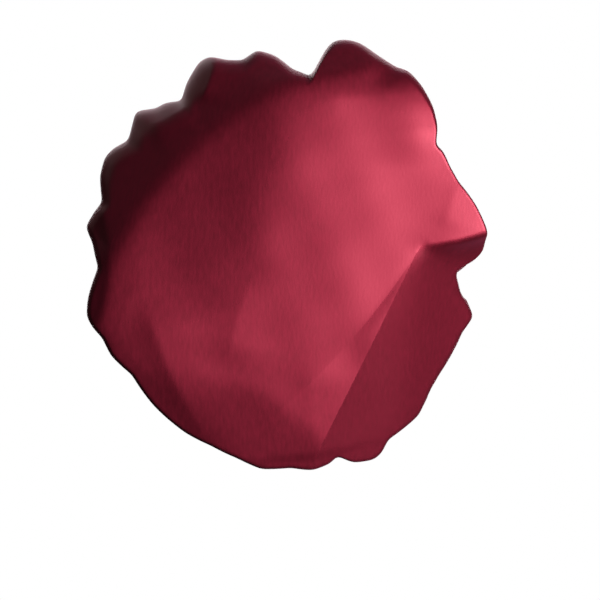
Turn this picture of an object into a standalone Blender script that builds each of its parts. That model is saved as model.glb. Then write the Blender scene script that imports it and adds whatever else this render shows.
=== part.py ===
"""Satin sleep bonnet in the shape it has when worn: a round gathered crown and a wide elastic head band.

The wearer faces -Y and +Z is up. The origin is the centre of the mouth, in the plane of the band's hem.
Places on the crown's back are given as it is seen from behind: "right" runs along -X and "up" along +Z,
and an angle is counted from the right, upwards. All sizes below are in millimetres and degrees.
"""

import math
from collections import namedtuple

import bpy
import numpy as np

MM = 0.001

# Head band
MOUTH_TILT = 41.0  # how far the mouth's plane rises from the nape to the forehead
HEM_HALF_WIDTH = 73.0
HEM_HALF_LENGTH = 91.0
BAND_WIDTH = 50.0
BAND_FLARE = 3.0  # how much wider than the hem the band is at the seam
BAND_SWELL = 1.6  # how far the middle of the band stands out
BAND_WALL = 2.4
SEAM_GAP = 0.3

# Crown
CROWN_WALL = 1.5
SEAM_WALL = 2.4  # the gathered cloth is thicker where it is sewn in
BACK_CENTRE_RIGHT = -9.0
BACK_CENTRE_UP = 66.0
BACK_DEPTH = 158.0  # from the origin back to the middle of the crown's back
BACK_LEAN = 0.05  # how far the back leans forward for each millimetre of height
DOME_DEPTH = 7.0  # how far forward the back bends between its middle and its rim
DOME_RADIUS = 150.0
DOME_POWER = 3.0
TURN_DEPTH = 20.0  # how far forward the rim lies from the back's surface, where nothing curves away to it
TURN_RATIO = 0.5  # and how much more, for each millimetre of the strip that does
BEND_ROUNDING = 0.9  # degrees over which each bend of the rim's outline is rounded
TURN_BLEND = 5.0  # degrees over which one width of that strip gives way to the next
ROUNDING_STEPS = np.linspace(-2.0, 2.0, 9)
EDGE_FADE = 0.25  # how fast a panel's edge softens beyond its ends

# Gathers of the front, between the band and the rim
PLEATS = 34
PLEAT_DEPTH = 2.8
PLEAT_START = 0.10  # share of the way to the rim where the pleats are deepest
PLEAT_END = 0.85
LEAVE_ANGLE = 22.0  # how steeply the cloth leaves the band
LEAVE_REACH = 42.0
LEAVE_REACH_TOP = 24.0
RIM_REACH = 46.0
RIM_REACH_TOP = 22.0
FRONT_SPREAD = (-12.0, -6.0, 0.0, 6.0, 12.0)  # degrees over which the front evens out the rim's lobes

COLUMNS_PER_PLEAT = 4
FRONT_STEPS = (0.0, 0.035, 0.10, 0.20, 0.33, 0.48, 0.64, 0.80, 0.92)
TURN_STEPS = (0.0, 22.0, 45.0, 68.0, 90.0)
BACK_STEPS = (0.93, 0.86, 0.79, 0.72, 0.64, 0.56, 0.48, 0.39, 0.30, 0.20, 0.10)
HALF_COLUMNS_WITHIN = 0.90  # share of the back within which every other column is enough
QUARTER_COLUMNS_WITHIN = 0.35
BAND_COLUMNS = 48
BAND_STEPS = (0.0, 0.33, 0.67, 1.0)

SATIN_COLOUR = (0.29, 0.016, 0.035, 1.0)
SATIN_ROUGHNESS = 0.42
BAND_COLOUR = (0.23, 0.012, 0.028, 1.0)
BAND_ROUGHNESS = 0.5
SATIN_METALLIC = 0.35
SHARP_ANGLE = 50.0  # degrees between two faces above which their edge is shaded as a corner

# One row for each bend of the rim's outline: its reach from the middle of the back, at an angle.
Rim = namedtuple("Rim", "angle reach")
OUTLINE = tuple(Rim(*row) for row in (
    (1, 141.5), (5, 141.9), (8, 141.8), (16, 137.3), (24, 131.5), (29, 130.9),  # the point on the right
    (34.5, 132.5), (37.3, 131), (41, 140), (46, 147.5), (52, 153.6), (57, 157),  # shoulder
    (60, 154.7), (65, 156.2), (71, 160.3), (74, 160.2), (77, 158), (79, 153.2),  # top lobe
    (80.7, 140.5), (82.2, 128),
    (84, 129.3), (88.5, 132.7), (93.5, 143), (98.5, 148.6), (103.2, 143.2),  # low lobe beside it
    (107.5, 146.6), (112, 154), (115, 153.5), (121, 143.8), (125, 134.6),
    (129.5, 141.3), (132.7, 142.8), (137.5, 152.4), (142, 145.9), (145, 142.2),
    (149.5, 148.8), (152.8, 150.9), (158, 148), (164.5, 139.2),
    (168, 143.5), (172.5, 147.7), (176.5, 140.5), (183.5, 134.9),
    (192, 145), (196.5, 148.6), (199.5, 146.8), (203.5, 142.4), (209, 142.4),  # lower left
    (217, 137.3), (228, 141.1),
    (240, 143.7), (248, 143.7), (256, 146.3), (263, 151), (271, 148.8), (277, 152), (282, 150.2),  # nape
    (284, 145.8), (287.6, 156), (292.8, 160.8), (295.3, 159.2), (298.5, 152.4),
    (309, 151.8), (316, 143.8), (321, 141.5), (328, 140.8), (335, 140.3),  # lower right
    (341, 144.2), (344, 137.4), (347, 128.8), (353, 122.4), (355.5, 123.5), (358, 135.2),
))

# One row for each width of the strip of the back, as seen from behind, that curves away to the rim.
Turn = namedtuple("Turn", "angle width")
TURNS = tuple(Turn(*row) for row in (
    (2, 4), (32, 4), (40, 6), (60, 8), (78, 8), (100, 10), (112, 14), (122, 18), (138, 18), (152, 14),
    (165, 10), (172, 8), (185, 5), (200, 5), (225, 4), (330, 4),
))

# One row for each fold of the back. It runs from one place to another, bowed sideways at its middle
# (positive to its left), and stands out by height, or dips where that is negative. Its slopes fade over
# the widths on its left and its right, and crest is the roundness of its edge. fade_in and fade_out are
# the shares of its length over which it rises and dies away.
Fold = namedtuple("Fold", "right up to_right to_up bow height left_width right_width crest fade_in fade_out")
FOLDS = (
    Fold(112, 118, 90, 72, 0, -0.5, 14, 6, 2.0, 0.30, 0.30),  # upper end of the diagonal
    Fold(-105, 42, -66, -50, -4, 1.3, 20, 8, 2.0, 0.30, 0.30),  # crest along the lower left
)

# One row for each edge along which a panel of the back bends away. It runs from one place to another,
# bowed as a fold is, with the panel on its right, and crest is how round it is.
Edge = namedtuple("Edge", "right up to_right to_up bow crest")
DIAGONAL = Edge(-12, -38, 98, 97, -7, 0.5)
BEND = Edge(54, -20, 4, 30, 0, 4.0)
SECOND = Edge(18, -72, 92, 74, 6, 0.5)
CREASE = Edge(83, 69, 131, 82, 0, 0.6)
LOWER = Edge(-70, -10, 19, -68, 8, 3.0)
SILL = Edge(-110, -15, -60, -13, 0, 4.0)
LEFT = Edge(-111, 64, -66, -50, -6, 1.5)
WEDGE = Edge(-140, 8, -90, 22, 0, 4.0)
CRESCENT = Edge(-141, 98, -141, 20, 9, 1.0)
MIDDLE = Edge(-10, 184, -46, 24, 0, 6.0)
HOLLOW = Edge(-40, 8, -120, 36, 0, 10.0)
EAST = Edge(28, 0, 28, 100, 0, 20.0)
TOP_LEFT = Edge(6, 200, -124, 86, -8, 6.0)
TOP = Edge(60, 200, -32, 183, 3, 2.0)
UPPER = Edge(100, 172, 26, 180, 0, 4.0)
TOP_END = Edge(-45, 170, -38, 210, 0, 5.0)
TOP_RIGHT = Edge(100, 190, 56, 175, 0, 2.0)
SHOULDER = Edge(66, 170, 58, 204, 0, 3.0)

# One row for each panel: it falls by drop below the back, over a reach beyond each of its edges.
Panel = namedtuple("Panel", "drop edges")
PANELS = (
    Panel(8, {DIAGONAL: 80, CREASE: 10}),  # the strip below the diagonal
    Panel(14, {DIAGONAL: 22, BEND: 20}),
    Panel(110, {SECOND: 110, CREASE: 10}),  # lower right
    Panel(12.5, {LOWER: 45, SILL: 15}),  # below the middle
    Panel(7, {LEFT: 35}),  # lower left
    Panel(5, {LEFT: 14, WEDGE: 25}),
    Panel(42, {MIDDLE: 110, HOLLOW: 60}),  # left of the middle
    Panel(15, {EAST: 220}),  # right
    Panel(22, {CRESCENT: 14}),  # the edge on the left
    Panel(110, {TOP_LEFT: 110}),  # the upper left
    Panel(30, {TOP: 25, TOP_END: 20}),
    Panel(8, {UPPER: 30}),
    Panel(22, {TOP_RIGHT: 12, SHOULDER: 8}),
)


def smoothstep(share):
    """0 below 0, 1 above 1, and a smooth rise between."""
    share = np.clip(share, 0.0, 1.0)
    return share * share * (3.0 - 2.0 * share)


def sideways(angles):
    """Unit vectors from the middle of the back towards its rim, across the view from behind."""
    radians = np.radians(angles)
    return np.stack([-np.cos(radians), np.zeros_like(radians), np.sin(radians)], axis=-1)


def around_the_rim(rows, angles, rounding):
    """The second column of a table at each angle: straight from row to row, with the bends rounded off."""
    places, values = np.array(rows, float).T
    weights = np.exp(-0.5 * ROUNDING_STEPS**2)
    shifted = [np.interp(angles + step * rounding, places, values, period=360.0) for step in ROUNDING_STEPS]
    return sum(weight * row for weight, row in zip(weights, shifted)) / weights.sum()


def rim_reach(angles):
    """Distance from the middle of the back to the rim, at each angle."""
    return around_the_rim(OUTLINE, angles, BEND_ROUNDING)


def rim_turn(angles):
    """Width of the strip that curves away to the rim, at each angle."""
    return around_the_rim(TURNS, angles, TURN_BLEND)


def column_angles():
    """The angle of each column of the crown: about even, with one on every bend of the outline."""
    columns = PLEATS * COLUMNS_PER_PLEAT
    numbers = [-1]
    for row in OUTLINE:
        numbers.append(max(round(row.angle * columns / 360.0), numbers[-1] + 1))
    numbers = [numbers[-1] - columns] + numbers[1:] + [numbers[1] + columns]
    angles = [OUTLINE[-1].angle - 360.0] + [row.angle for row in OUTLINE] + [OUTLINE[0].angle + 360.0]
    return np.interp(np.arange(columns), numbers, angles)


def off_line(row, right, up):
    """How far each place is to the left of a row's bowed line, and how far along it, as a share."""
    along = np.array([row.to_right - row.right, row.to_up - row.up], float)
    length = np.linalg.norm(along)
    right, up = right - row.right, up - row.up
    share = (right * along[0] + up * along[1]) / length**2
    left = (up * along[0] - right * along[1]) / length
    within = np.clip(share, 0.0, 1.0)
    return left - 4.0 * row.bow * within * (1.0 - within), share


def fold_height(fold, right, up):
    """How far one fold lifts the back's surface at each place."""
    distance, share = off_line(fold, right, up)
    width = np.where(distance > 0.0, fold.left_width, fold.right_width)
    fade = smoothstep(share / fold.fade_in) * smoothstep((1.0 - share) / fold.fade_out)
    return fold.height * np.exp(-(np.hypot(distance, fold.crest) - fold.crest) / width) * fade


def beyond(edge, reach, right, up):
    """How far into a panel each place is, from 0 at its edge to 1 well beyond its reach."""
    left, share = off_line(edge, right, up)
    length = math.hypot(edge.to_right - edge.right, edge.to_up - edge.up)
    crest = edge.crest + EDGE_FADE * length * np.maximum(np.abs(share - 0.5) - 0.5, 0.0)
    return 1.0 - np.exp(-crest * np.logaddexp(0.0, -left / crest) / reach)


def all_folds(points):
    """The height of every fold and panel together, at places on the crown."""
    right, up = -points[..., 0], points[..., 2]
    height = sum(fold_height(fold, right, up) for fold in FOLDS)
    for panel in PANELS:
        shares = [beyond(edge, reach, right, up) for edge, reach in panel.edges.items()]
        height = height - panel.drop * math.prod(shares)
    return height


def band_axes():
    """The mouth's long axis, towards the forehead, and its normal, into the bonnet."""
    tilt = math.radians(MOUTH_TILT)
    long_axis = np.array([0.0, -math.cos(tilt), math.sin(tilt)])
    normal = np.array([0.0, math.sin(tilt), math.cos(tilt)])
    return long_axis, normal


def band_ring(angles, climb, outwards=0.0):
    """Points round the band at a distance above its hem, and the directions that point out of it."""
    long_axis, normal = band_axes()
    share = climb / BAND_WIDTH
    swell = BAND_FLARE * share + BAND_SWELL * math.sin(math.pi * share)
    half_width, half_length = HEM_HALF_WIDTH + swell, HEM_HALF_LENGTH + swell
    cosine, sine = np.cos(np.radians(angles))[:, None], np.sin(np.radians(angles))[:, None]
    across = np.array([-1.0, 0.0, 0.0])
    outward = across * cosine * half_length + long_axis * sine * half_width
    outward /= np.linalg.norm(outward, axis=1)[:, None]
    points = across * cosine * half_width + long_axis * sine * half_length + normal * climb
    return points + outward * outwards, outward


def back_surface(points):
    """The crown's back without its folds: y at places given by their x and z."""
    right, up = -points[..., 0] - BACK_CENTRE_RIGHT, points[..., 2] - BACK_CENTRE_UP
    return BACK_DEPTH - BACK_LEAN * up - DOME_DEPTH * (np.hypot(right, up) / DOME_RADIUS) ** DOME_POWER


def crown_base(angles, front_steps, turn_steps, back_steps):
    """The crown's outer surface without folds and pleats, as rows of points from the seam to the back."""
    centre = np.array([-BACK_CENTRE_RIGHT, 0.0, BACK_CENTRE_UP])
    back = np.array([0.0, 1.0, 0.0])
    away = sideways(angles)
    reach, turn = rim_reach(angles)[:, None], rim_turn(angles)[:, None]
    depth = TURN_DEPTH + TURN_RATIO * turn
    rim = centre + away * reach
    rim = rim + back * (back_surface(rim)[:, None] - depth)
    seam, outward = band_ring(angles, BAND_WIDTH)
    spread = np.mean([rim_reach(angles + degrees)[:, None] for degrees in FRONT_SPREAD], axis=0)
    leave = math.radians(LEAVE_ANGLE)
    leaving = outward * math.cos(leave) + band_axes()[1] * math.sin(leave)
    height = np.sin(np.radians(angles))[:, None]
    after_seam = seam + leaving * (LEAVE_REACH + LEAVE_REACH_TOP * height)
    before_rim = rim - back * (RIM_REACH + RIM_REACH_TOP * height) - away * np.maximum(reach - spread, 0.0)
    rows = []
    for share in front_steps:
        rest = 1.0 - share
        ends = seam * rest**3 + rim * share**3
        rows.append(ends + 3.0 * rest * share * (after_seam * rest + before_rim * share))
    for step in np.radians(turn_steps):
        row = centre + away * (reach - turn * (1.0 - math.cos(step)))
        rows.append(row + back * (back_surface(row)[:, None] - depth * (1.0 - math.sin(step))))
    for share in back_steps:
        row = centre + away * (reach - turn) * share
        rows.append(row + back * back_surface(row)[:, None])
    return np.stack(rows), outward


def grid_normals(grid):
    """Outward unit normals of a grid of rows that each go round the crown."""
    along = np.gradient(grid, axis=0)
    around = np.roll(grid, -1, axis=1) - np.roll(grid, 1, axis=1)
    normals = np.cross(around, along)
    return normals / np.linalg.norm(normals, axis=2)[..., None]


def thinned(grid):
    """The grid's rows as rings, with fewer columns towards the middle of the back."""
    shares = [1.0] * (len(FRONT_STEPS) + len(TURN_STEPS)) + list(BACK_STEPS)
    steps = [1 + (share < HALF_COLUMNS_WITHIN) + 2 * (share < QUARTER_COLUMNS_WITHIN) for share in shares]
    return [row[::step] for row, step in zip(grid, steps)]


def crown_walls():
    """The crown's outer and inner rings from the seam, and the outer point in the middle of its back."""
    angles = column_angles()
    grid, outward = crown_base(angles, FRONT_STEPS, TURN_STEPS, BACK_STEPS)
    front = np.ones(len(grid))
    front[: len(FRONT_STEPS)] = FRONT_STEPS
    grid[..., 1] += all_folds(grid) * (front**2)[:, None]
    normals = grid_normals(grid)
    normals[0] = outward
    depth = PLEAT_DEPTH * smoothstep(front / PLEAT_START) * smoothstep((PLEAT_END - front) / PLEAT_END)
    crests = np.cos(np.arange(len(angles)) * 2.0 * math.pi / COLUMNS_PER_PLEAT)
    grid += normals * depth[:, None, None] * crests[None, :, None]
    wall = CROWN_WALL + (SEAM_WALL - CROWN_WALL) * smoothstep(1.0 - front / PLEAT_START)
    inner = grid - normals * wall[:, None, None]
    middle = np.array([-BACK_CENTRE_RIGHT, 0.0, BACK_CENTRE_UP])
    middle[1] = back_surface(middle) + all_folds(middle)
    return thinned(grid), thinned(inner), middle


def ring_faces(first, second):
    """Faces between two rings of point numbers, the second with as many points or half as many."""
    nexts = np.roll(second, -1)
    if len(first) == len(second):
        return list(zip(first, np.roll(first, -1), nexts, second))
    starts, middles, ends = first[::2], first[1::2], np.roll(first[::2], -1)
    return (
        list(zip(starts, middles, second))
        + list(zip(middles, nexts, second))
        + list(zip(middles, ends, nexts))
    )


def shell_mesh(name, outer, inner, middles=()):
    """A closed shell between outer and inner rings: capped at its two middles, or open and walled there."""
    rings = outer + inner
    ends = np.cumsum([len(ring) for ring in rings])
    numbers = [np.arange(end - len(ring), end) for ring, end in zip(rings, ends)]
    outer_numbers, inner_numbers = numbers[: len(outer)], numbers[len(outer) :]
    faces = []
    for first, second in zip(outer_numbers, outer_numbers[1:]):
        faces += ring_faces(first, second)
    for first, second in zip(inner_numbers, inner_numbers[1:]):
        faces += [face[::-1] for face in ring_faces(first, second)]
    faces += ring_faces(inner_numbers[0], outer_numbers[0])
    last_outer, last_inner = outer_numbers[-1], inner_numbers[-1]
    if len(middles):
        faces += [(a, b, ends[-1]) for a, b in zip(last_outer, np.roll(last_outer, -1))]
        faces += [(b, a, ends[-1] + 1) for a, b in zip(last_inner, np.roll(last_inner, -1))]
        rings = rings + [np.array(middles)]
    else:
        faces += ring_faces(last_outer, last_inner)
    mesh = bpy.data.meshes.new(name)
    points = np.concatenate(rings) * MM
    mesh.from_pydata(points.tolist(), [], [[int(corner) for corner in face] for face in faces])
    mesh.shade_smooth()
    mesh.set_sharp_from_angle(angle=math.radians(SHARP_ANGLE))
    return mesh


def satin(name, colour, roughness):
    """A polyester satin: coloured, half-glossy and a little metallic in its reflections."""
    material = bpy.data.materials.new(name)
    material.use_nodes = True
    shader = material.node_tree.nodes["Principled BSDF"]
    shader.inputs["Base Color"].default_value = colour
    shader.inputs["Roughness"].default_value = roughness
    shader.inputs["Metallic"].default_value = SATIN_METALLIC
    return material


def add_object(name, mesh, material):
    """Puts a mesh with its material into the scene."""
    mesh.materials.append(material)
    made = bpy.data.objects.new(name, mesh)
    bpy.context.scene.collection.objects.link(made)
    return made


def make_crown():
    """The gathered crown, from the seam on the band to the middle of its back."""
    outer, inner, middle = crown_walls()
    mesh = shell_mesh("crown", outer, inner, (middle, middle - np.array([0.0, CROWN_WALL, 0.0])))
    return add_object("crown", mesh, satin("crown_satin", SATIN_COLOUR, SATIN_ROUGHNESS))


def make_band():
    """The wide elastic band, from its hem to just below the crown's seam."""
    angles = np.arange(BAND_COLUMNS) * 360.0 / BAND_COLUMNS
    climbs = [share * (BAND_WIDTH - SEAM_GAP) for share in BAND_STEPS]
    outer = [band_ring(angles, climb)[0] for climb in climbs]
    inner = [band_ring(angles, climb, -BAND_WALL)[0] for climb in climbs]
    mesh = shell_mesh("band", outer, inner)
    return add_object("band", mesh, satin("band_satin", BAND_COLOUR, BAND_ROUGHNESS))


def main():
    """Clears the scene and builds the two pieces."""
    for existing in list(bpy.data.objects):
        bpy.data.objects.remove(existing)
    make_crown()
    make_band()


main()
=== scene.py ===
"""Satin sleep bonnet: a full gathered crown on a wide elastic head band, in the shape that it has when worn.

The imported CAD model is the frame. The bonnet's front is at -Y, +Z is up, and the origin is the centre of
the head opening in the plane of the band's hem. Places on the crown's back are given as it is seen from
behind: "right" runs along -X, "up" along +Z, and an angle is counted from the right, upwards. Sizes in the
classes are millimetres and degrees unless their comments say otherwise, and meshes are made in metres.
"""

import logging
import math
from dataclasses import dataclass
from enum import Enum
from typing import NamedTuple, Sequence

import bmesh
import bpy
import numpy as np
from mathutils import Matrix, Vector


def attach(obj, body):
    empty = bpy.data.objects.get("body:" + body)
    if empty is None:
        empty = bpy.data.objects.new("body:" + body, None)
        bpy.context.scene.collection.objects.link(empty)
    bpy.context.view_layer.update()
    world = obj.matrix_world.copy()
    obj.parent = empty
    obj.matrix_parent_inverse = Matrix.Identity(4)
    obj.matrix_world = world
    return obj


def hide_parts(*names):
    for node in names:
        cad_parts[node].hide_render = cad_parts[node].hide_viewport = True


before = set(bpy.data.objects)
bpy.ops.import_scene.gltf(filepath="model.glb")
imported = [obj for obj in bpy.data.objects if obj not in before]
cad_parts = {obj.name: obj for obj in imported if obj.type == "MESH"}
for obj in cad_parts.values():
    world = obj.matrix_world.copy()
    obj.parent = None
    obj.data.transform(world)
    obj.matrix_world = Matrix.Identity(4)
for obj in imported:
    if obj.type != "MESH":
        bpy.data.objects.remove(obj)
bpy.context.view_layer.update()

log = logging.getLogger("sleep_bonnet")

MM = 0.001
PIXELS_ACROSS = 600  # the image is square
MM_PER_PIXEL = 0.72  # as far away as the place that the camera is aimed at
PIXELS_UP = 46  # how far above the origin that place is
NOISE_LOW, NOISE_HIGH = 0.3, 0.7  # nearly all of a noise's values lie between these
WHITE = (1.0, 1.0, 1.0, 1.0)


# ===== Small tools =====


def linear(hex_colour: str) -> tuple[float, float, float, float]:
    """Turns an sRGB hex colour into linear RGBA.

    Args:
        hex_colour: such as "#ae2844".

    Returns:
        The linear colour with an alpha of 1.
    """
    parts = []
    for start in (1, 3, 5):
        part = int(hex_colour[start : start + 2], 16) / 255.0
        parts.append(part / 12.92 if part <= 0.04045 else ((part + 0.055) / 1.055) ** 2.4)
    return (*parts, 1.0)


def bare_tree(owner: bpy.types.Material | bpy.types.World) -> bpy.types.ShaderNodeTree:
    """Gives a material or a world an empty node tree.

    Args:
        owner: the material or world.

    Returns:
        Its tree.
    """
    owner.use_nodes = True
    owner.node_tree.nodes.clear()
    return owner.node_tree


def add_node(
    tree: bpy.types.NodeTree, kind: str, inputs: dict | None = None, **settings: object
) -> bpy.types.Node:
    """Adds one node to a tree, with its settings and its links.

    Args:
        tree: the shader or geometry tree that it goes into.
        kind: the node's type.
        inputs: an input's name or number to its value, or to the output socket that feeds it.
        settings: the node's own settings.

    Returns:
        The new node.
    """
    node = tree.nodes.new(kind)
    for name, value in settings.items():
        setattr(node, name, value)
    for key, value in (inputs or {}).items():
        if isinstance(value, bpy.types.NodeSocket):
            tree.links.new(value, node.inputs[key])
        else:
            node.inputs[key].default_value = value
    return node


def smoothstep(share: np.ndarray | float) -> np.ndarray:
    """0 below 0, 1 above 1, and a smooth rise between."""
    share = np.clip(share, 0.0, 1.0)
    return share * share * (3.0 - 2.0 * share)


def full_turn(columns: int) -> np.ndarray:
    """The angles of columns that stand evenly round the bonnet."""
    return np.arange(columns) * 360.0 / columns


def unit(vectors: np.ndarray) -> np.ndarray:
    """The vectors at a length of 1."""
    return vectors / np.linalg.norm(vectors, axis=-1, keepdims=True)


def grid_normals(grid: np.ndarray) -> np.ndarray:
    """Outward unit normals of a grid of rows that each go round the crown."""
    around = np.roll(grid, -1, axis=1) - np.roll(grid, 1, axis=1)
    return unit(np.cross(around, np.gradient(grid, axis=0)))


def ring_quads(first: int, second: int, columns: int) -> list[tuple[int, int, int, int]]:
    """Faces between two rings of points.

    Args:
        first: the number of the first ring's first point.
        second: the number of the second ring's first point.
        columns: the points in each ring.

    Returns:
        One face for each column.
    """
    faces = []
    for column in range(columns):
        after = (column + 1) % columns
        faces.append((first + column, first + after, second + after, second + column))
    return faces


def smooth_mesh(name: str, points_mm: np.ndarray, faces: Sequence[Sequence[int]]) -> bpy.types.Mesh:
    """Makes a smooth-shaded mesh.

    Args:
        name: its name.
        points_mm: its points, in millimetres.
        faces: the numbers of each face's points.

    Returns:
        The mesh, in metres.
    """
    mesh = bpy.data.meshes.new(name)
    mesh.from_pydata((points_mm * MM).tolist(), [], [list(face) for face in faces])
    mesh.shade_smooth()
    return mesh


def place(name: str, data: bpy.types.ID) -> bpy.types.Object:
    """Puts data into the scene as an object at the origin.

    Args:
        name: the object's name.
        data: its mesh, light or camera.

    Returns:
        The object.
    """
    made = bpy.data.objects.new(name, data)
    bpy.context.scene.collection.objects.link(made)
    return made


def settle(made: bpy.types.Object) -> None:
    """Turns what an object's modifiers make of it into its plain mesh, and removes them.

    Args:
        made: the object, whose mesh is exchanged.
    """
    graph = bpy.context.evaluated_depsgraph_get()
    graph.update()
    mesh = bpy.data.meshes.new_from_object(made.evaluated_get(graph), depsgraph=graph)
    made.modifiers.clear()
    made.data = mesh
    mesh.shade_smooth()


def lay_cloth(mesh: bpy.types.Mesh, places_mm: np.ndarray, name: str, girth: float = 0.0) -> None:
    """Gives a mesh a UV map that holds each point's place on the flat cloth, in metres.

    Args:
        mesh: the mesh.
        places_mm: each point's place on the cloth, in millimetres.
        name: the map's name.
        girth: where the cloth is a ring of four-cornered faces, its length along the second coordinate.
    """
    corners = np.empty(len(mesh.loops), dtype=np.int32)
    mesh.loops.foreach_get("vertex_index", corners)
    laid = places_mm[corners]
    if girth:  # a face that spans the join is laid out beyond it
        around = laid.reshape(-1, 4, 2)[..., 1]
        around[around.max(axis=1, keepdims=True) - around > girth / 2.0] += girth
    layer = mesh.uv_layers.new(name=name)
    layer.data.foreach_set("uv", (laid * MM).ravel())


# ===== Finishes =====


@dataclass(frozen=True)
class Satin:
    """Polyester charmeuse satin: long warp floats on the face, which throw back a broad coloured shine.

    Attributes:
        name: the material's name.
        colour: the dyed yarn, as the eye sees it lit full on.
        shade: the same yarn, partly its slubs' own tone and partly painted shade where it lies a little
            deeper.
        roughness: how broad the floats' shine is.
        metallic: how far that shine takes the yarn's own colour.
        glaze: the clear shine of the filaments' own surface, which pales the brightest places.
        glaze_roughness: how broad that clear shine is.
        edge: what the shine turns to where the cloth curves out of sight.
        bloom: how strong the fibres' pale bloom is at a grazing angle.
        bloom_colour: the colour of the bloom.
        bloom_roughness: how broad the bloom is.
        cloth: the UV map that holds places on the flat cloth, in metres.
    """

    name: str
    colour: str = "#ae2844"
    shade: str = "#982138"
    roughness: float = 0.58
    metallic: float = 0.85
    glaze: float = 0.5
    glaze_roughness: float = 0.44
    edge: str = "#b87890"
    bloom: float = 0.12
    bloom_colour: str = "#d0608c"
    bloom_roughness: float = 0.4
    cloth: str = "cloth"
    float_mm: float = 1.7  # real warp floats lie 0.1 mm apart, drawn as coarse as shows
    float_length: float = 3.0  # how many times longer a float is than wide
    float_depth_mm: float = 0.03
    slub_mm: float = 2.2  # thickness of the yarn's slow variation, across it
    slub_length_mm: float = 9.0
    mottle_mm: float = 34.0  # handling marks: soft uneven patches of pressed cloth
    mottle_depth_mm: float = 0.10
    uneven: float = 0.03  # how far the roughness drifts with the slubs

    def noise(
        self, tree: bpy.types.NodeTree, where: bpy.types.NodeSocket, across: float, along: float, detail: int
    ) -> bpy.types.NodeSocket:
        """Noise stretched along the warp.

        Args:
            tree: the material's tree.
            where: the place on the flat cloth.
            across: the size of a patch across the warp, in millimetres.
            along: its size along the warp.
            detail: how much finer noise lies on it.

        Returns:
            The noise's value.
        """
        scale = (1.0 / (across * MM), 1.0 / (along * MM), 1.0)
        mapped = add_node(tree, "ShaderNodeMapping", {"Vector": where, "Scale": scale})
        inputs = {"Vector": mapped.outputs["Vector"], "Scale": 1.0, "Detail": detail, "Roughness": 0.5}
        return add_node(tree, "ShaderNodeTexNoise", inputs).outputs["Fac"]

    def material(self) -> bpy.types.Material:
        """Builds the material.

        Returns:
            The satin as a node material.
        """
        made = bpy.data.materials.new(self.name)
        tree = bare_tree(made)
        cloth = add_node(tree, "ShaderNodeUVMap", uv_map=self.cloth).outputs["UV"]
        slub = self.noise(tree, cloth, self.slub_mm, self.slub_length_mm, 2)
        mottle = self.noise(tree, cloth, self.mottle_mm, self.mottle_mm, 1)
        floats = self.noise(tree, cloth, self.float_mm, self.float_mm * self.float_length, 1)

        # the yarn's tone, partly painted shade, and its roughness drift with the slubs
        colours = {"Factor": slub, "A": linear(self.shade), "B": linear(self.colour)}
        tone = add_node(tree, "ShaderNodeMix", colours, data_type="RGBA")
        ramp = {"Value": slub, "From Min": NOISE_LOW, "From Max": NOISE_HIGH,
                "To Min": self.roughness - self.uneven, "To Max": self.roughness + self.uneven}
        rough = add_node(tree, "ShaderNodeMapRange", ramp)

        # pressed patches, then the floats on top of them
        bump = {"Height": mottle, "Strength": 1.0, "Distance": self.mottle_depth_mm * MM}
        pressed = add_node(tree, "ShaderNodeBump", bump)
        bump = {"Height": floats, "Distance": self.float_depth_mm * MM, "Normal": pressed.outputs["Normal"]}
        woven = add_node(tree, "ShaderNodeBump", {"Strength": 1.0, **bump})
        shader = add_node(tree, "ShaderNodeBsdfPrincipled", {
            "Base Color": tone.outputs["Result"],
            "Roughness": rough.outputs["Result"],
            "Metallic": self.metallic,
            "Normal": woven.outputs["Normal"],
            "Specular Tint": linear(self.edge),
            "Coat Weight": self.glaze,
            "Coat Roughness": self.glaze_roughness,
            "Coat Normal": woven.outputs["Normal"],
            "Sheen Weight": self.bloom,
            "Sheen Roughness": self.bloom_roughness,
            "Sheen Tint": linear(self.bloom_colour),
        })
        add_node(tree, "ShaderNodeOutputMaterial", {"Surface": shader.outputs[0]})
        return made


@dataclass(frozen=True)
class Thread:
    """Spun polyester sewing thread: two plies twisted together, half matt, dyed to match the satin."""

    name: str
    colour: str = "#8c2239"
    # the shade is painted shade for where the plies meet
    shade: str = "#6e1a2c"  # between the plies
    roughness: float = 0.6
    fuzz: float = 0.2  # the pale bloom of its loose fibre ends
    ply_mm: float = 0.4

    def material(self) -> bpy.types.Material:
        """Builds the material.

        Returns:
            The thread as a node material, with painted shade here and there where its plies meet.
        """
        made = bpy.data.materials.new(self.name)
        tree = bare_tree(made)
        where = add_node(tree, "ShaderNodeTexCoord").outputs["Object"]
        scale = 1.0 / (self.ply_mm * MM)
        # noise at the plies' size lays the painted shade where they meet, at random places
        plies = add_node(tree, "ShaderNodeTexNoise", {"Vector": where, "Scale": scale, "Detail": 1.0})
        colours = {"Factor": plies.outputs["Fac"], "A": linear(self.shade), "B": linear(self.colour)}
        tone = add_node(tree, "ShaderNodeMix", colours, data_type="RGBA")
        looks = {"Base Color": tone.outputs["Result"], "Roughness": self.roughness, "Sheen Weight": self.fuzz}
        shader = add_node(tree, "ShaderNodeBsdfPrincipled", looks)
        add_node(tree, "ShaderNodeOutputMaterial", {"Surface": shader.outputs[0]})
        return made


# ===== Rows of the crown's tables =====


class Wave(NamedTuple):
    """One uneven drift round the bonnet: its size, how often it swings in a turn, and where it starts."""

    size: float
    swings: int
    start: float

    def at(self, turns: np.ndarray) -> np.ndarray:
        """The drift at each angle, in radians."""
        return self.size * np.sin(self.swings * turns + self.start)


class Ripple(NamedTuple):
    """One shallow wave of slack cloth: where it runs, its length, its depth and its start in radians."""

    heading: float
    length: float
    depth: float
    start: float


class Rim(NamedTuple):
    """One bend of the rim's outline: an angle round the middle of the back, and the reach from there."""

    angle: float
    reach: float


class Turn(NamedTuple):
    """How wide a strip of the back curves away to the rim, at one angle."""

    angle: float
    width: float


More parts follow.
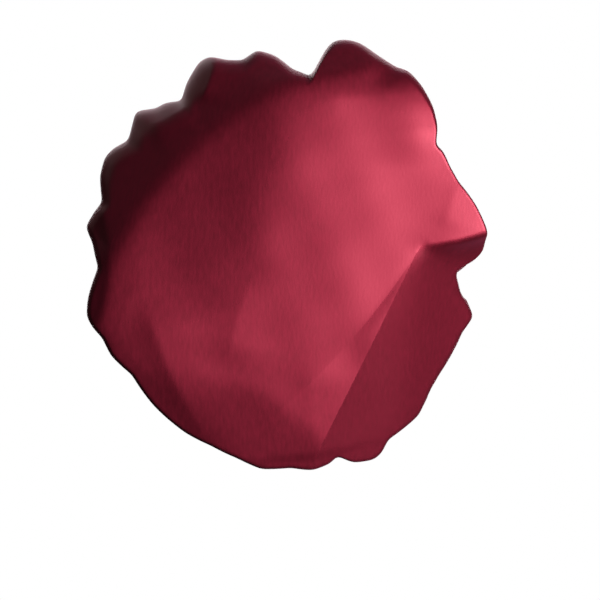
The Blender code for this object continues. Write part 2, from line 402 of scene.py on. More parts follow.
class Fold(NamedTuple):
    """One fold of the back, from one place to another, bowed sideways at its middle (positive to its left).

    It stands out by height, or dips where that is negative. Its slopes fade over the widths on its left and
    its right, and crest is the roundness of its edge. fade_in and fade_out are the shares of its length over
    which it rises and dies away.
    """

    right: float
    up: float
    to_right: float
    to_up: float
    bow: float
    height: float
    left_width: float
    right_width: float
    crest: float
    fade_in: float
    fade_out: float


class Lie(Enum):
    """How the cloth lies along an edge."""

    SOFT = "soft"
    PRESSED = "pressed to a line, where the shade changes at once"


class Edge(NamedTuple):
    """An edge along which a panel of the back bends away, with the panel on its right.

    Its places and its bow are given as a fold's are. The bend is spread over about its crest.
    """

    right: float
    up: float
    to_right: float
    to_up: float
    bow: float
    crest: float
    lie: Lie = Lie.SOFT

    def length(self) -> float:
        """How long the edge is, without its bow."""
        return math.hypot(self.to_right - self.right, self.to_up - self.up)


class Panel(NamedTuple):
    """A panel of the back: it falls by drop (a negative one rises), over a reach beyond each of its edges."""

    drop: float
    edges: dict[Edge, float]


OUTLINE = tuple(Rim(*row) for row in (
    (1, 141.5), (5, 141.9), (8, 141.8), (16, 137.3), (24, 131.5), (29, 130.9),  # the point on the right
    (34.5, 132.5), (37.3, 131), (41, 140), (46, 147.5), (52, 153.6), (57, 157),  # shoulder
    (60, 154.7), (65, 156.2), (71, 160.3), (74, 160.2), (77, 158), (79, 153.2),  # top lobe
    (80.7, 140.5), (82.2, 128),
    (84, 129.3), (88.5, 132.7), (93.5, 143), (98.5, 148.6), (103.2, 143.2),  # low lobe beside it
    (107.5, 146.6), (112, 154), (115, 153.5), (121, 143.8), (125, 134.6),
    (129.5, 141.3), (132.7, 142.8), (137.5, 152.4), (142, 145.9), (145, 142.2),
    (149.5, 148.8), (152.8, 150.9), (158, 148), (164.5, 139.2),
    (168, 143.5), (172.5, 147.7), (176.5, 140.5), (183.5, 134.9),
    (192, 145), (196.5, 148.6), (199.5, 146.8), (203.5, 142.4), (209, 142.4),  # lower left
    (217, 137.3), (228, 141.1),
    (240, 143.7), (248, 143.7), (256, 146.3), (263, 151), (271, 148.8), (277, 152), (282, 150.2),  # bottom
    (284, 145.8), (287.6, 156), (292.8, 160.8), (295.3, 159.2), (298.5, 152.4),
    (309, 151.8), (316, 143.8), (321, 141.5), (328, 140.8), (335, 140.3),  # lower right
    (341, 144.2), (344, 137.4), (347, 128.8), (353, 122.4), (355.5, 123.5), (358, 135.2),
))

TURNS = tuple(Turn(*row) for row in (
    (2, 3), (8, 1.5), (32, 1.5), (45, 3), (60, 8), (78, 8), (100, 10), (112, 14), (122, 18), (138, 18),
    (152, 14), (165, 10), (172, 8), (185, 5), (200, 5), (225, 4), (330, 4),
))

FOLDS = (
    Fold(111, 122, 100, 84, 0, 0.5, 40, 7, 2.0, 0.30, 0.30),  # upper end of the diagonal
    Fold(-109, 40, -70, -53, -4, 1.8, 22, 15, 2.0, 0.30, 0.30),  # crest along the lower left
    Fold(-30, 60, -51, -12, -3, 1.3, 45, 26, 1.2, 0.40, 0.30),  # left of the middle
    Fold(-60, 214, -72, 174, 3, 4.5, 12, 3.5, 0.8, 0.30, 0.30),  # down the slope at the upper left
    Fold(-74, 177, -114, 156, 3, 4.5, 12, 3.5, 0.8, 0.30, 0.30),  # and from its foot to the left
    Fold(3, 2, 12, -76, 0, 1.6, 34, 50, 4.0, 0.35, 0.10),  # runs out in the notch below
    Fold(82, 126, 74, 204, 0, 3.4, 50, 34, 10.0, 0.40, 0.30),  # the low swell below the shoulder
)

DIAGONAL = Edge(-12, -38, 98, 97, -7, 0.5, Lie.PRESSED)  # the long crease from the lower middle to the nose
BEND = Edge(57, -17, 7, 33, 0, 5.0)  # across the strip between the two creases
SECOND = Edge(11, -72, 82, 72, 0, 0.02, Lie.PRESSED)  # the crease at the lower right
THIRD = Edge(74, -80, 86, 66, 0, 6.0)  # nearer to the rim
CREASE = Edge(91, 75, 132.5, 82.5, -1.5, 0.9)  # under the nose, out to the rim
LOWER = Edge(-70, -10, 19, -68, 8, 3.0)  # across the lower middle
SILL = Edge(-110, -15, -60, -13, 0, 4.0)  # ends it above, on the left
LEFT = Edge(-115, 62, -70, -53, -6, 1.5)  # down the left side
WEDGE = Edge(-140, -14, -90, -8, 0, 4.0)  # across the foot of the left side
CRESCENT = Edge(-141, 98, -141, 20, 7, 1.0)  # along the rim on the left
MIDDLE = Edge(-17, 192, -35, 24, 0, 8.5)  # down from the top, left of the middle
HOLLOW = Edge(-36, 2, -120, 33, 0, 8.0)  # ends it below
EAST = Edge(8, 0, 26, 130, 0, 16.0)  # up the middle
SHELF = Edge(60, 10, 0, 28, 0, 6.0)  # ends it below
NOSE = Edge(64, 30, 70, 172, 0, 12.0)  # up the right side, where the cloth lifts towards the nose
TOP_LEFT = Edge(0, 191, -131, 68, -16.5, 3.0)  # round the dark slope at the upper left
RIDGE = Edge(-60, 216, -77, 166, 2, 1.5)  # a ridge down that slope
RIDGE_LEFT = Edge(-74, 168, -130, 147, 3, 1.5)  # and from its foot to the left
TOP = Edge(60, 203, -32, 190, 3, 2.0)  # along the top
UPPER = Edge(100, 172, 26, 180, 0, 4.0)  # a little below the top
TOP_END = Edge(-45, 170, -38, 210, 0, 5.0)  # ends the top on the left
TOP_RIGHT = Edge(100, 203, 56, 187, 0, 2.0)  # along the shoulder
SHOULDER = Edge(60, 170, 52, 204, 0, 3.0)  # ends it on the left

PANELS = (
    Panel(6, {DIAGONAL: 80, CREASE: 10}),  # below the diagonal
    Panel(-3.6, {DIAGONAL: 13, BEND: 12, CREASE: 8}),  # the strip's upper end rises again
    Panel(315, {SECOND: 300, CREASE: 8}),  # lower right
    Panel(26, {THIRD: 50, CREASE: 8}),  # its outer part
    Panel(9, {LOWER: 45, SILL: 15}),  # below the middle
    Panel(2, {LEFT: 35}),  # lower left
    Panel(4, {LEFT: 14, WEDGE: 25}),  # its foot
    Panel(42, {MIDDLE: 110, HOLLOW: 60}),  # left of the middle
    Panel(7, {EAST: 85, SHELF: 30}),  # right of the middle
    Panel(-3.6, {NOSE: 60}),  # right
    Panel(12, {CRESCENT: 14}),  # the edge on the left
    Panel(110, {TOP_LEFT: 110}),  # the upper left
    Panel(22, {RIDGE: 22, RIDGE_LEFT: 22}),  # the slope's outer corner
    Panel(30, {TOP: 25, TOP_END: 20}),  # the top's edge
    Panel(8, {UPPER: 30}),  # the top
    Panel(22, {TOP_RIGHT: 12, SHOULDER: 8}),  # the shoulder
)

# each pressed edge once, though it may bound more than one panel
PRESSED = tuple(dict.fromkeys(edge for panel in PANELS for edge in panel.edges if edge.lie is Lie.PRESSED))

RIPPLES = tuple(Ripple(*row) for row in (
    (24, 41, 0.10, 0.3), (73, 58, 0.14, 2.2), (118, 33, 0.06, 4.1), (151, 71, 0.16, 1.3), (8, 96, 0.22, 5.0),
))


# ===== Pieces =====


@dataclass
class StitchRow:
    """One row of lockstitches round the band, made by Geometry Nodes from the ring that it follows."""

    name: str
    length: float = 2.2
    gap: float = 0.8
    thread: float = 0.36  # its thickness
    segments: int = 8  # faces round one stitch
    rings: int = 5

    def tree(self) -> bpy.types.GeometryNodeTree:
        """Builds the node tree.

        Returns:
            The tree: a ring of edges in, a stitch for each pitch of it out.
        """
        tree = bpy.data.node_groups.new("lockstitches", "GeometryNodeTree")
        face = tree.interface
        face.new_socket("Ring", in_out="INPUT", socket_type="NodeSocketGeometry")
        for name in ("Stitch length", "Pitch", "Thread thickness"):
            face.new_socket(name, in_out="INPUT", socket_type="NodeSocketFloat")
        face.new_socket("Thread", in_out="INPUT", socket_type="NodeSocketMaterial")
        face.new_socket("Stitches", in_out="OUTPUT", socket_type="NodeSocketGeometry")
        given = add_node(tree, "NodeGroupInput").outputs
        curve = add_node(tree, "GeometryNodeMeshToCurve", {"Mesh": given["Ring"]})
        pitch = {"Curve": curve.outputs[0], "Length": given["Pitch"]}
        spaced = add_node(tree, "GeometryNodeResampleCurve", pitch, mode="LENGTH")
        ball = {"Segments": self.segments, "Rings": self.rings, "Radius": 0.5}  # 1 m across until scaled
        bead = add_node(tree, "GeometryNodeMeshUVSphere", ball)
        thick = given["Thread thickness"]
        size = add_node(tree, "ShaderNodeCombineXYZ", {"X": thick, "Y": thick, "Z": given["Stitch length"]})
        tangent = add_node(tree, "GeometryNodeInputTangent")
        turned = add_node(tree, "FunctionNodeAlignRotationToVector", {"Vector": tangent.outputs[0]}, axis="Z")
        laid = add_node(tree, "GeometryNodeInstanceOnPoints",
                        {"Points": spaced.outputs[0], "Instance": bead.outputs["Mesh"],
                         "Rotation": turned.outputs[0], "Scale": size.outputs[0]})
        real = add_node(tree, "GeometryNodeRealizeInstances", {"Geometry": laid.outputs[0]})
        cover = {"Geometry": real.outputs[0], "Material": given["Thread"]}
        dyed = add_node(tree, "GeometryNodeSetMaterial", cover)
        add_node(tree, "NodeGroupOutput", {"Stitches": dyed.outputs[0]})
        return tree

    def build(self, ring_mm: np.ndarray, thread: bpy.types.Material) -> bpy.types.Object:
        """Sews the row.

        Args:
            ring_mm: the points of the closed ring, in millimetres.
            thread: the thread's material.

        Returns:
            The row as one mesh object.
        """
        mesh = bpy.data.meshes.new(self.name)
        count = len(ring_mm)
        edges = [(point, (point + 1) % count) for point in range(count)]
        mesh.from_pydata((ring_mm * MM).tolist(), edges, [])
        made = place(self.name, mesh)
        modifier = made.modifiers.new("lockstitches", "NODES")
        modifier.node_group = self.tree()
        values = {"Stitch length": self.length * MM, "Pitch": (self.length + self.gap) * MM,
                  "Thread thickness": self.thread * MM, "Thread": thread}
        for item in modifier.node_group.interface.items_tree:
            if item.in_out == "INPUT" and item.name in values:
                modifier[item.identifier] = values[item.name]
        settle(made)
        return made


@dataclass
class Band:
    """The wide elastic head band: satin folded over elastic, stretched to its size when worn."""

    tilt: float = 41.0  # the mouth's rise from its back to its front
    half_width: float = 73.0  # of the mouth, outside
    half_length: float = 91.0
    width: float = 50.0  # from the hem to the crown's seam
    flare: float = 3.0  # how much wider the band is at the seam
    swell: float = 1.6  # and half way up it, besides
    wall: float = 2.4
    top: float = 49.7  # where the band ends, just short of the seam
    columns: int = 432
    climb_steps: int = 22
    edge_steps: int = 4  # points round each of its two edges
    puckers: int = 72
    pucker_depth: float = 0.35
    pucker_size: float = 0.65  # a middling pucker, as a share of the largest
    pucker_drift: tuple[Wave, ...] = (Wave(1.3, 3, 0.4), Wave(0.9, 7, 1.9))
    pucker_slant: Wave = Wave(0.02, 11, 0.0)  # for each millimetre above the hem
    pucker_swell: tuple[Wave, ...] = (Wave(1.0, 5, 2.2), Wave(1.0, 2, 0.3))
    edge_share: float = 0.35  # what is left of a pucker at the band's edges
    inner_share: float = 0.4  # and on its inner face
    hem_row: float = 6.0  # the lower row of stitches, above the hem
    seam_row: float = 3.0  # the upper row, below the top
    row_pull: float = 0.9  # how far a row of stitches flattens the puckers
    row_dent: float = 0.12  # how deep it lies
    row_reach: float = 1.1  # and how far off it is felt
    row_lift: float = 0.05  # how far the stitches' middle stands off the satin
    # its second colour is a darker copy, partly painted shade, as on the crown's satin
    finish: Satin = Satin("satin_over_elastic", "#9a2a40", "#8d263b", 0.52, 0.7)
    thread: Thread = Thread("spun_polyester_thread")

    def axes(self) -> tuple[np.ndarray, np.ndarray]:
        """The opening's long axis, towards its front, and its normal, into the bonnet."""
        cosine, sine = math.cos(math.radians(self.tilt)), math.sin(math.radians(self.tilt))
        return np.array([0.0, -cosine, sine]), np.array([0.0, sine, cosine])

    def ring(
        self, angles: np.ndarray, climb: float, outwards: float | np.ndarray = 0.0
    ) -> tuple[np.ndarray, np.ndarray]:
        """Points round the band.

        Args:
            angles: the angles round it.
            climb: the distance above its hem.
            outwards: how far off its outer face.

        Returns:
            The points, and the directions that point out of the band.
        """
        long_axis, normal = self.axes()
        share = climb / self.width
        swell = self.flare * share + self.swell * math.sin(math.pi * min(max(share, 0.0), 1.0))
        half_width, half_length = self.half_width + swell, self.half_length + swell
        cosine, sine = np.cos(np.radians(angles))[:, None], np.sin(np.radians(angles))[:, None]
        across = np.array([-1.0, 0.0, 0.0])
        outward = unit(across * cosine * half_length + long_axis * sine * half_width)
        points = across * cosine * half_width + long_axis * sine * half_length + normal * climb
        return points + outward * np.reshape(outwards, (-1, 1)), outward

    def puckering(self, angles: np.ndarray, climb: float) -> np.ndarray:
        """How far the satin stands off the elastic: small upright puckers, held flat at the two edges.

        Args:
            angles: the angles round the band.
            climb: the distance above its hem.

        Returns:
            The height at each angle, below 0 along a row of stitches.
        """
        turns = np.radians(angles)
        drift = sum(wave.at(turns) for wave in self.pucker_drift) + climb * self.pucker_slant.at(turns)
        height = 0.5 + 0.5 * np.cos(self.puckers * turns + drift)
        swell = math.prod(wave.at(turns) for wave in self.pucker_swell)
        size = self.pucker_size + (1.0 - self.pucker_size) * swell
        free = smoothstep(climb / self.hem_row) * smoothstep((self.top - climb) / self.seam_row)
        share = self.edge_share + (1.0 - self.edge_share) * free
        flat = 1.0
        for row in (self.hem_row, self.top - self.seam_row):
            flat = flat * (1.0 - self.row_pull * math.exp(-(((climb - row) / self.row_reach) ** 2)))
        return self.pucker_depth * height * size * share * flat - self.row_dent * (1.0 - flat)

    def section(self) -> list[tuple[float, float]]:
        """Works out the band's cross-section, with rounded edges.

        Returns:
            Its closed outline as (climb, depth below the outer face).
        """
        radius = self.wall / 2.0
        climbs = np.linspace(radius, self.top - radius, self.climb_steps)
        turns = np.linspace(0.0, math.pi, self.edge_steps + 2)[1:-1]
        outer = [(climb, 0.0) for climb in climbs]
        circle = [(radius * math.sin(turn), radius * math.cos(turn)) for turn in turns]
        over = [(self.top - radius + rise, radius - depth) for rise, depth in circle]
        inner = [(climb, self.wall) for climb in climbs[::-1]]
        under = [(radius - rise, radius + depth) for rise, depth in circle]
        return outer + over + inner + under

    def mesh(self) -> bpy.types.Mesh:
        """Builds the band's mesh.

        Returns:
            One closed ring, with its places on the flat cloth as a UV map.
        """
        angles = full_turn(self.columns)
        section = self.section()
        rings, places = [], []
        walked = np.cumsum([0.0] + [math.dist(one, two) for one, two in zip(section, section[1:])])
        girth = 2.0 * math.pi * math.sqrt((self.half_width**2 + self.half_length**2) / 2.0)
        shares = {0.0: 1.0, self.wall: -self.inner_share}  # the rounded edges have no puckers
        for (climb, depth), walk in zip(section, walked):
            off = self.puckering(angles, climb) * shares.get(depth, 0.0)
            rings.append(self.ring(angles, climb, off - depth)[0])
            places.append(np.stack([np.full(self.columns, walk), angles / 360.0 * girth], axis=1))
        faces = []
        for number in range(len(rings)):
            faces += ring_quads(number * self.columns, (number + 1) % len(rings) * self.columns, self.columns)
        mesh = smooth_mesh("band_satin", np.concatenate(rings), faces)
        lay_cloth(mesh, np.concatenate(places), self.finish.cloth, girth)
        return mesh

    def build(self) -> list[bpy.types.Object]:
        """Builds and dresses the band.

        Returns:
            The band, its lower row of stitches and its upper one.
        """
        made = [place("band_satin", self.mesh())]
        made[0].data.materials.append(self.finish.material())
        thread = self.thread.material()
        for name, climb in (("hem_stitches", self.hem_row), ("seam_stitches", self.top - self.seam_row)):
            path, _ = self.ring(full_turn(self.columns), climb, self.row_lift)
            made.append(StitchRow(name).build(path, thread))
        return made


@dataclass
class Crown:
    """The full round crown: one disc of satin, gathered at its edge into the band and puffed out."""

    band: Band
    centre_right: float = -9.0  # the middle of the back, seen from behind
    centre_up: float = 66.0
    back_depth: float = 158.0  # and how far behind the origin it is
    back_lean: float = 0.05  # how far forwards the back leans for each millimetre up
    dome_depth: float = 7.0  # how far the back curves forwards over the radius below
    dome_radius: float = 150.0
    dome_power: float = 3.0
    turn_depth: float = 20.0  # how deep the rim's narrowest turn is
    turn_ratio: float = 0.5  # and how much deeper for each millimetre of its width
    bend_rounding: float = 0.9  # degrees over which a bend of the outline is rounded off
    turn_blend: float = 5.0  # and a change of the turn's width
    edge_fade: float = 0.25  # how fast an edge softens beyond its ends
    crease_snap: float = 0.3  # a point this near a crease is moved onto it
    pleats: int = 34
    pleat_depth: float = 2.8
    pleat_start: float = 0.10  # shares of the way from the seam to the rim
    pleat_end: float = 0.85
    pleat_ends: Wave = Wave(0.12, 8, 1.4)
    pleat_drift: tuple[Wave, ...] = (Wave(0.55, 5, 0.7), Wave(0.45, 9, 2.1), Wave(0.3, 14, 4.0))
    pleat_lean: Wave = Wave(0.9, 3, 1.0)  # how far the pleats swing sideways by the rim
    pleat_size: tuple[Wave, ...] = (Wave(0.28, 7, 0.5), Wave(0.22, 11, 3.3))
    pleat_edge: float = 0.22  # how much narrower a pleat's top is than a plain wave's
    fine_pleats: int = 3  # puckers to each pleat, at the seam
    fine_depth: float = 0.55
    fine_start: float = 0.05
    fine_end: float = 0.34
    fine_ends: Wave = Wave(0.10, 13, 2.0)
    fine_drift: Wave = Wave(1.2, 6, 0.0)
    leave_angle: float = 22.0  # how steeply the cloth leaves the seam, from straight outwards
    leave_reach: float = 42.0  # how far it runs on that way, and how much farther on top
    leave_reach_top: float = 24.0
    rim_reach: float = 46.0  # how far it runs straight back before the rim, and how much farther on top
    rim_reach_top: float = 22.0
    front_spread: tuple[float, ...] = (-12.0, -6.0, 0.0, 6.0, 12.0)  # degrees that even out the rim's lobes
    front_crowding: float = 1.25  # how much closer the rows lie near the seam
    wall: float = 0.9
    columns: int = 480
    front_rows: int = 46
    turn_rows: int = 14
    back_rows: int = 84
    cut_width: float = 540.0  # the disc before it is gathered
    finish: Satin = Satin("charmeuse_satin")

    @property
    def middle(self) -> np.ndarray:
        """The middle of the back, in the plane of the origin."""
        return np.array([-self.centre_right, 0.0, self.centre_up])

    def round_the_rim(self, rows: Sequence[Rim | Turn], angles: np.ndarray, rounding: float) -> np.ndarray:
        """Reads a table's second column off round the rim: straight from row to row, with rounded bends.

        Args:
            rows: the table, in the order of its angles.
            angles: the angles to read it at.
            rounding: the degrees over which a bend is rounded off.

        Returns:
            The value at each angle.
        """
        places, values = np.array(rows, float).T
        steps = np.linspace(-2.0, 2.0, 9)
        weights = np.exp(-0.5 * steps**2)  # a bell curve
        total = np.zeros(len(angles))
        for step, weight in zip(steps, weights):
            total += weight * np.interp(angles + step * rounding, places, values, period=360.0)
        return total / weights.sum()

    def reach(self, angles: np.ndarray) -> np.ndarray:
        """Distance from the middle of the back to the rim, at each angle."""
        return self.round_the_rim(OUTLINE, angles, self.bend_rounding)

    def off_line(self, row: Fold | Edge, points: np.ndarray) -> tuple[np.ndarray, np.ndarray]:
        """Measures places on the crown against a row's bowed line.

        Args:
            row: the fold or edge.
            points: the places.

        Returns:
            How far each place is to the left of the line, and how far along it, as a share.
        """
        along = np.array([row.to_right - row.right, row.to_up - row.up], float)
        length = np.linalg.norm(along)
        right, up = -points[..., 0] - row.right, points[..., 2] - row.up
        share = (right * along[0] + up * along[1]) / length**2
        left = (up * along[0] - right * along[1]) / length
        within = np.clip(share, 0.0, 1.0)
        return left - 4.0 * row.bow * within * (1.0 - within), share

    def fold_height(self, fold: Fold, points: np.ndarray) -> np.ndarray:
        """Works out one fold.

        Args:
            fold: the fold.
            points: places on the crown.

        Returns:
            How far the fold lifts the cloth at each.
        """
        distance, share = self.off_line(fold, points)
        width = np.where(distance > 0.0, fold.left_width, fold.right_width)
        fade = smoothstep(share / fold.fade_in) * smoothstep((1.0 - share) / fold.fade_out)
        return fold.height * np.exp(-(np.hypot(distance, fold.crest) - fold.crest) / width) * fade

    def beyond(self, edge: Edge, reach: float, points: np.ndarray) -> np.ndarray:
        """Works out one edge of a panel.

        Args:
            edge: the edge.
            reach: how far beyond it the panel levels out.
            points: places on the crown.

        Returns:
            How far into the panel each is, from 0 before the edge to 1 well beyond its reach.
        """
        left, share = self.off_line(edge, points)
        crest = edge.crest + self.edge_fade * edge.length() * np.maximum(np.abs(share - 0.5) - 0.5, 0.0)
        return 1.0 - np.exp(-crest * np.logaddexp(0.0, -left / crest) / reach)

    def folded(self, points: np.ndarray) -> np.ndarray:
        """Adds up every fold and panel.

        Args:
            points: places on the crown.

        Returns:
            How far they lift the cloth at each.
        """
        height = sum(self.fold_height(fold, points) for fold in FOLDS)
        for panel in PANELS:
            shares = [self.beyond(edge, reach, points) for edge, reach in panel.edges.items()]
            height = height - panel.drop * math.prod(shares)
        return height

    def back_surface(self, points: np.ndarray) -> np.ndarray:
        """Works out the back without its folds.

        Args:
            points: places, of which x and z count.

        Returns:
            The back's y at each.
        """
        right, up = -points[..., 0] - self.centre_right, points[..., 2] - self.centre_up
        dome = self.dome_depth * (np.hypot(right, up) / self.dome_radius) ** self.dome_power
        return self.back_depth - self.back_lean * up - dome

    def back_height(self, points: np.ndarray) -> np.ndarray:
        """The back's y with its folds and ripples, at places given by their x and z."""
        return self.back_surface(points) + self.folded(points) + self.ripples(points)

    def gathers(self, angles: np.ndarray, front: np.ndarray) -> np.ndarray:
        """Works out the gathers: uneven pleats that run out towards the rim, and puckers at the seam.

        Args:
            angles: each column's angle.
            front: each row's share of the way from the seam to the rim.

        Returns:
            The lift in millimetres, a row for each share.
        """
        turns = np.radians(angles)[None, :]
        front = front[:, None]
        drift = sum(wave.at(turns) for wave in self.pleat_drift)
        phase = self.pleats * turns + drift + self.pleat_lean.at(turns) * front
        size = 1.0 + sum(wave.at(turns) for wave in self.pleat_size)
        end = self.pleat_end + self.pleat_ends.at(turns)
        rise = smoothstep(front / self.pleat_start) * smoothstep((end - front) / end)
        crest = np.cos(phase) + self.pleat_edge * np.cos(2 * phase)
        fine_end = self.fine_end + self.fine_ends.at(turns)
        fine_rise = smoothstep(front / self.fine_start) * smoothstep((fine_end - front) / fine_end)
        fine = self.fine_depth * np.cos(self.fine_pleats * phase + self.fine_drift.at(turns))
        return self.pleat_depth * size * rise * crest + fine * fine_rise

    def ripples(self, points: np.ndarray) -> np.ndarray:
        """Adds up the shallow waves of slack cloth.

        Args:
            points: places on the crown.

        Returns:
            How far they lift the cloth at each.
        """
        right, up = -points[..., 0], points[..., 2]
        total = np.zeros(right.shape)
        for ripple in RIPPLES:
            heading = math.radians(ripple.heading)
            along = right * math.cos(heading) + up * math.sin(heading)
            total += ripple.depth * np.sin(2.0 * math.pi * along / ripple.length + ripple.start)
        return total

    def base(self, angles: np.ndarray) -> tuple[np.ndarray, np.ndarray, np.ndarray]:
        """The outer surface without folds and gathers.

        Args:
            angles: each column's angle.

        Returns:
            Rows of points from the seam to the back, the directions out of the band, and each row's share
            of the way from the seam to the rim.
        """
        middle, back = self.middle, np.array([0.0, 1.0, 0.0])
        radians = np.radians(angles)
        away = np.stack([-np.cos(radians), np.zeros_like(radians), np.sin(radians)], axis=-1)
        reach = self.reach(angles)[:, None]
        turn = self.round_the_rim(TURNS, angles, self.turn_blend)[:, None]
        depth = self.turn_depth + self.turn_ratio * turn
        rim = middle + away * reach
        rim = rim + back * (self.back_surface(rim)[:, None] - depth)
        seam, outward = self.band.ring(angles, self.band.width)
        spread = np.mean([self.reach(angles + degrees)[:, None] for degrees in self.front_spread], axis=0)
        leave = math.radians(self.leave_angle)
        leaving = outward * math.cos(leave) + self.band.axes()[1] * math.sin(leave)
        height = np.sin(radians)[:, None]
        after_seam = seam + leaving * (self.leave_reach + self.leave_reach_top * height)
        straight = self.rim_reach + self.rim_reach_top * height
        before_rim = rim - back * straight - away * np.maximum(reach - spread, 0)
        front_steps = np.linspace(0.0, 1.0, self.front_rows + 1)[:-1] ** self.front_crowding
        rows = []
        for share in front_steps:  # a curve from the seam to the rim, by way of the other two
            rest = 1.0 - share
            ends = seam * rest**3 + rim * share**3
            rows.append(ends + 3.0 * rest * share * (after_seam * rest + before_rim * share))
        for step in np.linspace(0.0, math.pi / 2.0, self.turn_rows):
            row = middle + away * (reach - turn * (1.0 - math.cos(step)))
            rows.append(row + back * (self.back_surface(row)[:, None] - depth * (1.0 - math.sin(step))))
        for share in np.linspace(1.0, 0.0, self.back_rows + 2)[1:-1]:
            row = middle + away * (reach - turn) * share
            rows.append(row + back * self.back_surface(row)[:, None])
        front = np.ones(len(rows))
        front[: len(front_steps)] = front_steps
        return np.stack(rows), outward, front

    def surface(self) -> tuple[np.ndarray, np.ndarray, np.ndarray]:
        """The outer surface with its folds and gathers.

        Returns:
            Its rows of points, their normals, and the point in the middle of the back.
        """
        angles = full_turn(self.columns)
        grid, outward, front = self.base(angles)
        grid[..., 1] += (self.folded(grid) + self.ripples(grid)) * (front**2)[:, None]
        normals = grid_normals(grid)
        normals[0] = outward
        grid = grid + normals * self.gathers(angles, front)[..., None]
        normals = grid_normals(grid)
        middle = self.middle
        middle[1] = self.back_height(middle)
        return grid, normals, middle

    def flat_places(self, grid: np.ndarray, middle: np.ndarray) -> np.ndarray:
        """Lays the cloth flat again.

        Args:
            grid: the outer surface's rows of points.
            middle: the point in the middle of the back.

        Returns:
            Each point's place on the disc: as far from its middle as the cloth runs, at the column's angle.
        """
        columns = grid.shape[1]
        angles = np.radians(full_turn(columns))
        whole = np.concatenate([grid, np.broadcast_to(middle, (1, columns, 3))])
        steps = np.linalg.norm(np.diff(whole, axis=0), axis=2)
        run = np.cumsum(steps[::-1], axis=0)[::-1]
        return np.stack([run * np.cos(angles), run * np.sin(angles)], axis=-1)

    def mesh(self) -> bpy.types.Mesh:
        """Builds the crown's mesh.

        Returns:
            A closed thin wall, with its places on the flat cloth as a UV map.
        """
        outer, normals, middle = self.surface()
        inner = (outer - normals * self.wall)[::2, ::2]  # half as fine, because little of it shows
        flat = self.flat_places(outer, middle)
        inner_tip = middle - np.array([0.0, self.wall, 0.0])
        skins = ((outer, flat, middle, 1), (inner, flat[::2, ::2], inner_tip, -1))
        parts, places, faces, starts = [], [], [], [0]
        for rows, spots, tip, way in skins:  # each in rings round to its tip, and the inner one turned round
            start, columns = starts[-1], rows.shape[1]
            end = start + rows.shape[0] * columns
            skin = []
            for first in range(start, end - columns, columns):
                skin += ring_quads(first, first + columns, columns)
            last = end - columns
            skin += [(last + column, last + (column + 1) % columns, end) for column in range(columns)]
            faces += [face[::way] for face in skin]
            parts += [rows.reshape(-1, 3), tip[None, :]]
            places += [spots.reshape(-1, 2), np.zeros((1, 2))]
            starts.append(end + 1)
        half = inner.shape[1]
        for column in range(half):  # the cut edge, hidden in the seam
            first, second, third = ((2 * column + step) % self.columns for step in (0, 1, 2))
            here, after = starts[1] + column, starts[1] + (column + 1) % half
            faces += [(here, second, first), (here, after, second), (after, third, second)]
        mesh = smooth_mesh("crown_satin", np.concatenate(parts), faces)
        lay_cloth(mesh, np.concatenate(places), self.finish.cloth)
        self.press(mesh)
        return mesh

    def cut(self, made: bmesh.types.BMesh, edge: Edge) -> list[bmesh.types.BMVert]:
        """Moves points onto a pressed edge, and cuts new ones where the mesh crosses it.

        Args:
            made: the crown's mesh, with the points of its outer back tagged.
            edge: the edge.

        Returns:
            The points on the edge, which are tagged as well.
        """
        verts = [vert for vert in made.verts if vert.tag]
        left, share = self.off_line(edge, np.array([vert.co for vert in verts]) / MM)
        offs = dict(zip(verts, np.where((share > 0.0) & (share < 1.0), left, np.nan)))  # nan beyond its ends
        line = [vert for vert, off in offs.items() if abs(off) < self.crease_snap]
        length = edge.length()
        towards = Vector(((edge.to_up - edge.up) / length, 0.0, (edge.to_right - edge.right) / length))
        for vert in line:
            vert.co -= towards * offs[vert] * MM
            offs[vert] = 0.0
        sides = [side for side in made.edges if all(vert in offs for vert in side.verts)]
        for side in [side for side in sides if offs[side.verts[0]] * offs[side.verts[1]] < 0.0]:
            first, second = side.verts
            share = offs[first] / (offs[first] - offs[second])
            line.append(bmesh.utils.edge_split(side, first, share)[1])
        for vert in line:
            vert.tag = True
        return line

    def press(self, mesh: bpy.types.Mesh) -> None:
        """Cuts the back's faces along its pressed edges, so that the shade changes at a line there.

        Args:
            mesh: the crown's mesh, which is changed.
        """
        made = bmesh.new()
        made.from_mesh(mesh)
        made.verts.ensure_lookup_table()
        start = (self.front_rows + self.turn_rows) * self.columns
        for number in range(start, start + self.back_rows * self.columns):
            made.verts[number].tag = True
        for edge in PRESSED:
            line = self.cut(made, edge)
            places = np.array([vert.co for vert in line]) / MM
            for vert, height in zip(line, self.back_height(places)):
                vert.co.y = height * MM
            bmesh.ops.connect_verts(made, verts=line)
            kept = set(line)
            for side in made.edges:
                if kept.issuperset(side.verts):
                    side.smooth = False
        made.to_mesh(mesh)
        made.free()

    def build(self) -> bpy.types.Object:
        """Builds and dresses the crown.

        Returns:
            The crown as one object.
        """
        crown = place("crown_satin", self.mesh())
        crown.data.materials.append(self.finish.material())
        return crown


# ===== Studio =====


class SoftBox(NamedTuple):
    """One soft light: where it stands, its width, its power in watts and what it is aimed at, in metres."""

    name: str
    place: tuple[float, float, float]
    width: float
    power: float
    aim: tuple[float, float, float] = (0.0, 0.05, 0.05)


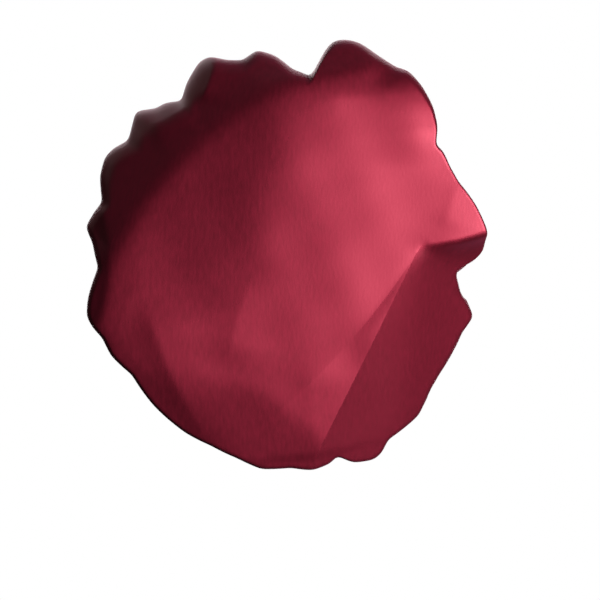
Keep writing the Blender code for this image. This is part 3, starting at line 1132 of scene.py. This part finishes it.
@dataclass
class Studio:
    """A pale floor that runs out into white, soft lights, and the camera behind the bonnet."""

    boxes: tuple[SoftBox, ...] = (
        SoftBox("key_light", (-1.10, 1.60, 0.28), 0.7, 43.5),
        SoftBox("right_fill", (-1.2, 0.7, -0.7), 0.6, 2.2),
        SoftBox("left_fill", (1.3, -1.6, 1.0), 0.8, 0.8),
        SoftBox("top_fill", (0.4, -0.9, 1.6), 1.2, 0.2),
        SoftBox("front_fill", (0.08, -2.1, 0.3), 1.4, 25.0),
    )
    ambient: float = 0.026
    floor_height: float = -0.42  # metres, as are the three below
    floor_size: float = 30.0
    distance: float = 1.8
    target: tuple[float, float, float] = (0.0, 0.095, PIXELS_UP * MM_PER_PIXEL * MM)
    elevation: float = 4.0
    sensor: float = 36.0  # the camera's, in millimetres

    def aimed(self, made: bpy.types.Object, aim: Sequence[float]) -> None:
        """Turns a light or camera towards a place."""
        made.rotation_mode = "QUATERNION"
        made.rotation_quaternion = (Vector(aim) - made.location).to_track_quat("-Z", "Y")

    def light(self, box: SoftBox) -> None:
        """Adds one soft light.

        Args:
            box: what it is.
        """
        lamp = bpy.data.lights.new(box.name, "AREA")
        lamp.energy, lamp.size = box.power, box.width
        made = place(box.name, lamp)
        made.location = box.place
        self.aimed(made, box.aim)

    def floor(self) -> None:
        """Adds the pale floor, lit evenly so that it meets the white background with no line."""
        half = self.floor_size / 2.0
        corners = [(-half, -half), (half, -half), (half, half), (-half, half)]
        mesh = bpy.data.meshes.new("floor")
        mesh.from_pydata([(x, y, self.floor_height) for x, y in corners], [], [(0, 1, 2, 3)])
        floor = place("floor", mesh)
        paper = bpy.data.materials.new("white_seamless_paper")
        tree = bare_tree(paper)
        lit = add_node(tree, "ShaderNodeEmission", {"Color": WHITE, "Strength": 1.0})
        add_node(tree, "ShaderNodeOutputMaterial", {"Surface": lit.outputs[0]})
        mesh.materials.append(paper)
        floor.visible_diffuse = floor.visible_glossy = floor.visible_shadow = False

    def world(self) -> None:
        """White to the camera, and a dim even light to everything else."""
        world = bpy.data.worlds.new("studio")
        bpy.context.scene.world = world
        tree = bare_tree(world)
        dim = add_node(tree, "ShaderNodeBackground", {"Color": WHITE, "Strength": self.ambient})
        bright = add_node(tree, "ShaderNodeBackground", {"Color": WHITE, "Strength": 1.0})
        seen = add_node(tree, "ShaderNodeLightPath").outputs["Is Camera Ray"]
        mixed = add_node(tree, "ShaderNodeMixShader", {0: seen, 1: dim.outputs[0], 2: bright.outputs[0]})
        add_node(tree, "ShaderNodeOutputWorld", {"Surface": mixed.outputs[0]})

    def camera(self) -> None:
        """Adds the camera behind the bonnet, a little above level."""
        lens = bpy.data.cameras.new("camera")
        lens.sensor_width = self.sensor
        lens.lens = self.sensor * self.distance / (PIXELS_ACROSS * MM_PER_PIXEL * MM)
        made = place("camera", lens)
        rise = math.radians(self.elevation)
        made.location = Vector(self.target) + Vector((0.0, math.cos(rise), math.sin(rise))) * self.distance
        self.aimed(made, self.target)
        bpy.context.scene.camera = made

    def build(self) -> None:
        """Builds the whole studio."""
        self.camera()
        self.floor()
        self.world()
        for box in self.boxes:
            self.light(box)
        bpy.context.scene.view_settings.view_transform = "Standard"


def report(piece: bpy.types.Object) -> None:
    """Logs a piece's name, faces and size."""
    size = ", ".join(f"{side / MM:.1f}" for side in piece.dimensions)
    log.info("%s: %d faces, %s mm", piece.name, len(piece.data.polygons), size)


def main() -> None:
    """Builds the studio and the bonnet's pieces, and ties them to the frame."""
    logging.basicConfig(level=logging.INFO, format="%(name)s: %(message)s")
    Studio().build()
    band = Band()
    crown = Crown(band)
    made_crown = crown.build()
    made_band, hem_row, seam_row = band.build()
    for piece in (made_crown, made_band, hem_row, seam_row):
        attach(piece, "root")
        report(piece)
    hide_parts("crown")
    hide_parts("band")


if __name__ == "__main__":
    main()
